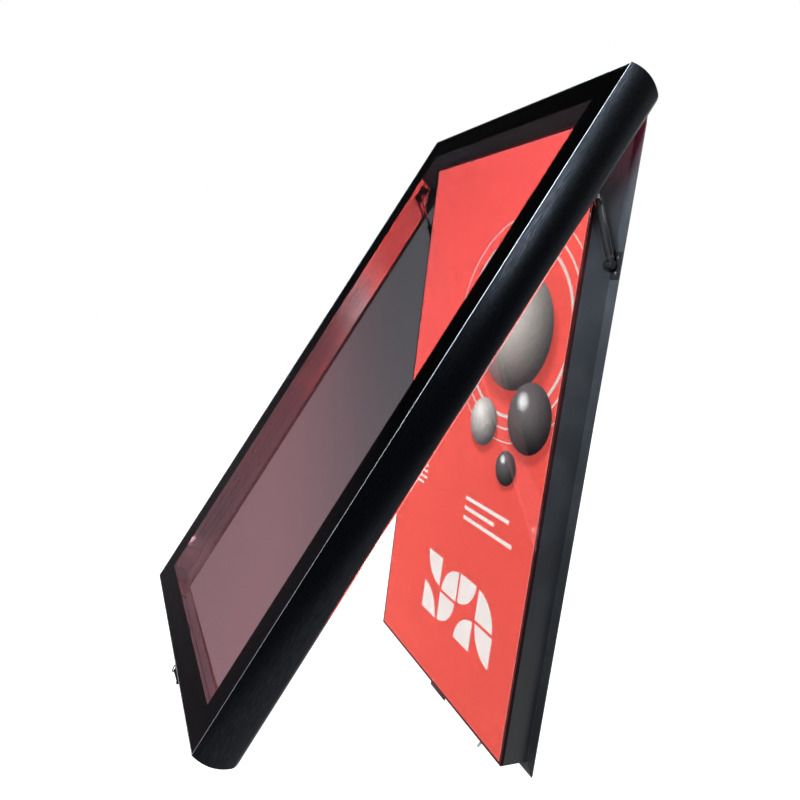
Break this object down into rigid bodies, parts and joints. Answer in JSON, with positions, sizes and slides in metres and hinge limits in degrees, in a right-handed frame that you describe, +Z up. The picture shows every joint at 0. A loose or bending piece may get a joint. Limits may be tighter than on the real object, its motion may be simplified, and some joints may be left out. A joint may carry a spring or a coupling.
{
  "type": "outdoor light box",
  "caption": "Wall-hung outdoor light box with a backlit poster panel and a glazed hood on a top hinge, held open by gas struts.",
  "frame": {"origin": "centre of the upper wall bracket's face against the wall", "axes": "+X to the right seen from the front, +Y into the wall, +Z up"},
  "size_m": [0.6826, 0.6795, 1.2928],
  "materials": {
    "powder_coat": "semi-gloss charcoal powder coat",
    "brushed_black": "brushed black anodised",
    "black_gloss": "glossy black",
    "bright_steel": "bright zinc",
    "aluminium": "satin",
    "tinted_glass": "clear tempered",
    "border_print": "black ceramic print under glass",
    "rubber": "matte",
    "poster": "backlit print film, red",
    "clear_cover": "clear sheet",
    "opal_acrylic": "opal",
    "black_plastic": "matte",
    "grey_plastic": "matte",
    "led_board": "white board with lenses"
  },
  "bodies": {
    "cabinet": {"cabinet_rail_left": "powder_coat", "cabinet_rail_right": "powder_coat", "cabinet_rail_top": "powder_coat", "cabinet_rail_bottom": "powder_coat", "strut_foot_bracket_left": "black_gloss", "strut_foot_bracket_right": "black_gloss", "wall_bracket_upper": "bright_steel", "wall_bracket_lower": "bright_steel", "corner_key_lower_left": "bright_steel", "corner_key_lower_right": "bright_steel", "corner_key_upper_left": "bright_steel", "corner_key_upper_right": "bright_steel", "led_driver": "aluminium", "led_wiring": "black_plastic", "led_bar_1": "led_board", "led_bar_2": "led_board", "led_bar_3": "led_board", "led_bar_4": "led_board", "led_bar_5": "led_board", "back_panel": "powder_coat", "hinge_leaf_cabinet": "bright_steel", "hinge_pin": "bright_steel", "poster_film": "poster", "cover_sheet": "clear_cover", "diffuser_panel": "opal_acrylic", "strike_bar": "black_plastic", "cable_gland": "black_plastic", "gland_nut": "black_plastic", "driver_lead": "black_plastic", "mains_lead": "black_plastic", "drain_spout": "grey_plastic", "terminal_block": "grey_plastic"},
    "hood": {"hood_rail_left": "brushed_black", "hood_rail_right": "brushed_black", "hood_rail_top": "brushed_black", "hood_rail_bottom": "brushed_black", "strut_head_bracket_left": "black_gloss", "strut_head_bracket_right": "black_gloss", "corner_bracket_lower_left": "aluminium", "corner_bracket_lower_right": "aluminium", "corner_bracket_upper_left": "aluminium", "corner_bracket_upper_right": "aluminium", "glass_pane": "tinted_glass", "glass_border": "border_print", "glazing_gasket": "rubber", "hinge_leaf_hood": "bright_steel", "lock_barrel": "bright_steel", "lock_nut": "bright_steel", "lever_bracket": "black_gloss"},
    "strut_tube_left": {"strut_socket_left": "black_gloss", "strut_cylinder_left": "black_gloss"},
    "strut_tube_right": {"strut_socket_right": "black_gloss", "strut_cylinder_right": "black_gloss"},
    "strut_rod_left": {"strut_rod_left": "bright_steel", "strut_eye_left": "black_gloss"},
    "strut_rod_right": {"strut_rod_right": "bright_steel", "strut_eye_right": "black_gloss"},
    "lock_core": {"lock_core": "bright_steel", "lock_cam": "bright_steel"},
    "pull_lever": {"pull_lever": "black_gloss"}
  },
  "joints": [
    {"name": "hood_hinge", "type": "hinge", "parent": "cabinet", "child": "hood", "pos_m": [0, -0.0125, 0.222], "axis": [1, 0, 0], "range_deg": [0, 28.17], "stiffness_Nm_per_rad": 18, "springref_deg": -171.89},
    {"name": "strut_tilt_left", "type": "hinge", "parent": "cabinet", "child": "strut_tube_left", "pos_m": [-0.312, -0.0265, -0.034], "axis": [1, 0, 0], "range_deg": [-14.9, 0]},
    {"name": "strut_tilt_right", "type": "hinge", "parent": "cabinet", "child": "strut_tube_right", "pos_m": [0.312, -0.0265, -0.034], "axis": [1, 0, 0], "range_deg": [-14.9, 0]},
    {"name": "strut_slide_left", "type": "slide", "parent": "strut_tube_left", "child": "strut_rod_left", "axis": [0, -0.4452, 0.8954], "range_m": [-0.051, 0]},
    {"name": "strut_slide_right", "type": "slide", "parent": "strut_tube_right", "child": "strut_rod_right", "axis": [0, -0.4452, 0.8954], "range_m": [-0.051, 0]},
    {"name": "lock_turn", "type": "hinge", "parent": "hood", "child": "lock_core", "pos_m": [-0.03, -0.65111, -0.86883], "axis": [0, -0.4721, -0.8816], "range_deg": [0, 180]},
    {"name": "lever_swing", "type": "hinge", "parent": "hood", "child": "pull_lever", "pos_m": [0.12, -0.67283, -0.85855], "axis": [0, 0.8816, -0.4721], "range_deg": [-75, 0]}
  ],
  "couplings": [
    {"joint": "strut_tilt_left", "follows": "hood_hinge", "ratio": -0.52433},
    {"joint": "strut_tilt_right", "follows": "hood_hinge", "ratio": -0.52433},
    {"joint": "strut_slide_left", "follows": "hood_hinge", "m_per_rad": -0.10297},
    {"joint": "strut_slide_right", "follows": "hood_hinge", "m_per_rad": -0.10297}
  ]
}
